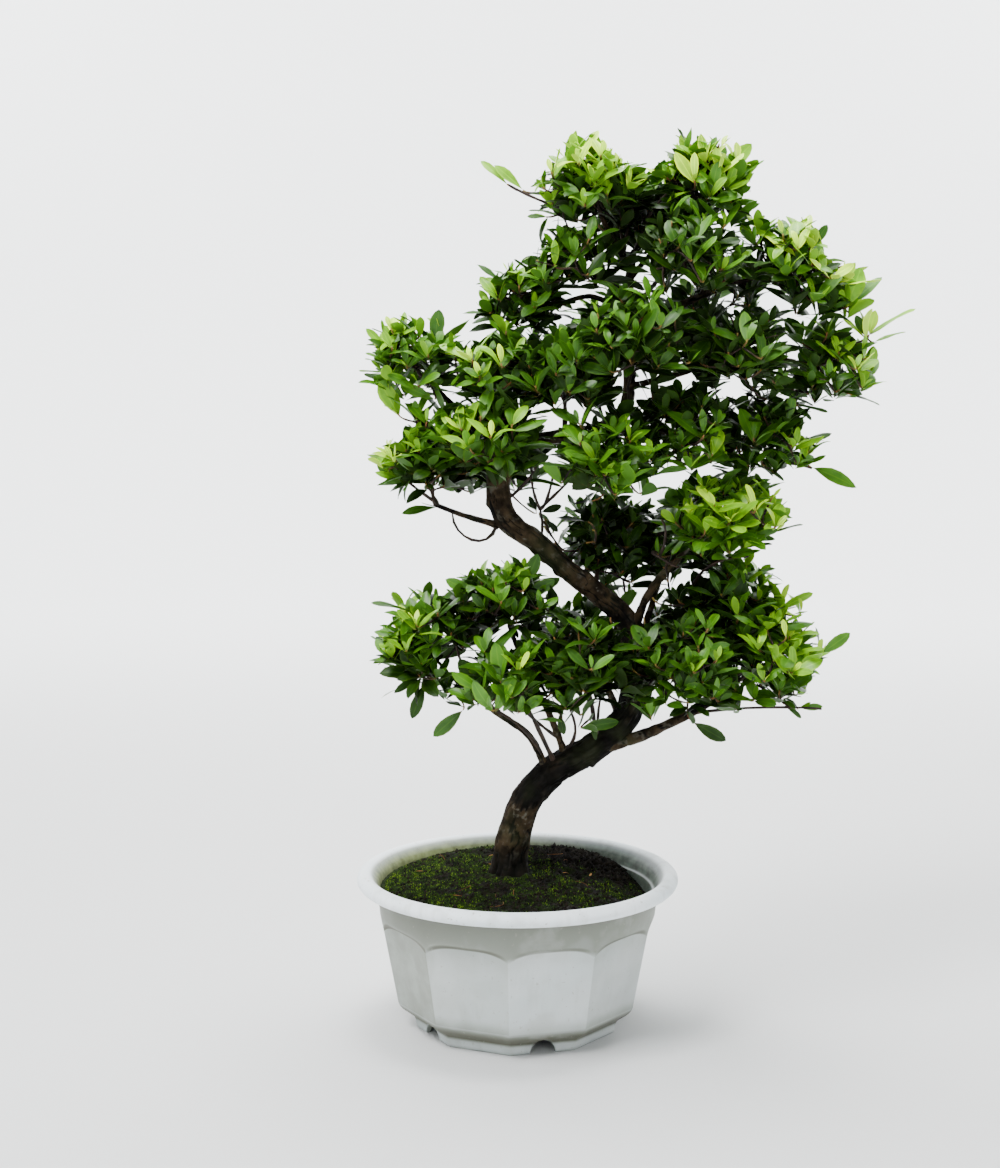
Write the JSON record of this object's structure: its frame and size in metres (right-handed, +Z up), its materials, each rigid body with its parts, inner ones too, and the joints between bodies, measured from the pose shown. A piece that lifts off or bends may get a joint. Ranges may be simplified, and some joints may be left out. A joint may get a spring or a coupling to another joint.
{
  "type": "azalea bonsai in a pot",
  "caption": "Azalea bonsai with a curving trunk, tapering boughs and separate masses of small pointed leaves, in a round plastic pot with arched side panels.",
  "frame": {"origin": "centre of the pot's underside, on the surface that the pot stands on", "axes": "+Z up along the plant, +X to the right and -Y towards the viewer as the plant is seen from its front"},
  "size_m": [0.3391, 0.1994, 0.5465],
  "materials": {
    "pot_plastic": "weathered pale grey-white plastic, satin",
    "soil": "dark crumbly clay granules with moss",
    "bark": "dark brown fissured bark",
    "foliage": "green leaves with a soft gloss"
  },
  "bodies": {
    "root": {"pot": "pot_plastic", "soil": "soil", "trunk_lower": "bark", "trunk_diagonal": "bark", "trunk_crook": "bark", "trunk_cross": "bark", "trunk_leader": "bark", "bough_lower_left": "bark", "bough_lower_left_top": "bark", "bough_lower_right": "bark", "bough_lower_right_top": "bark", "bough_lower_back": "bark", "bough_mid_right": "bark", "bough_mid_right_back": "bark", "bough_mid_left": "bark", "bough_upper_left": "bark", "bough_upper_left_inner": "bark", "bough_centre_right": "bark", "bough_right_low": "bark", "bough_right_mid": "bark", "bough_right_upper": "bark", "bough_right_back": "bark", "bough_top_right": "bark", "bough_top_left": "bark", "bough_back_left": "bark", "bough_mid_front": "bark", "mass_lower_left_tip": "foliage", "mass_lower_left_top": "foliage", "mass_lower_left_front": "foliage", "mass_lower_middle": "foliage", "mass_lower_right_front": "foliage", "mass_lower_right_tip": "foliage", "mass_lower_right_top": "foliage", "mass_lower_back": "foliage", "mass_lower_right_back": "foliage", "mass_mid_right": "foliage", "mass_mid_back": "foliage", "mass_mid_right_back": "foliage", "mass_mid_left_tip": "foliage", "mass_mid_left": "foliage", "mass_mid_front": "foliage", "mass_mid_left_back": "foliage", "mass_upper_left_tip": "foliage", "mass_upper_left": "foliage", "mass_upper_left_inner": "foliage", "mass_centre_front": "foliage", "mass_centre_left": "foliage", "mass_centre_right": "foliage", "mass_centre_low": "foliage", "mass_right_low": "foliage", "mass_right_mid": "foliage", "mass_right_upper": "foliage", "mass_top_right": "foliage", "mass_top_left": "foliage", "mass_top_left_low": "foliage", "mass_top_back": "foliage", "mass_centre_back": "foliage", "mass_right_back": "foliage", "mass_upper_left_back": "foliage", "mass_top_front": "foliage"}
  },
  "joints": []
}
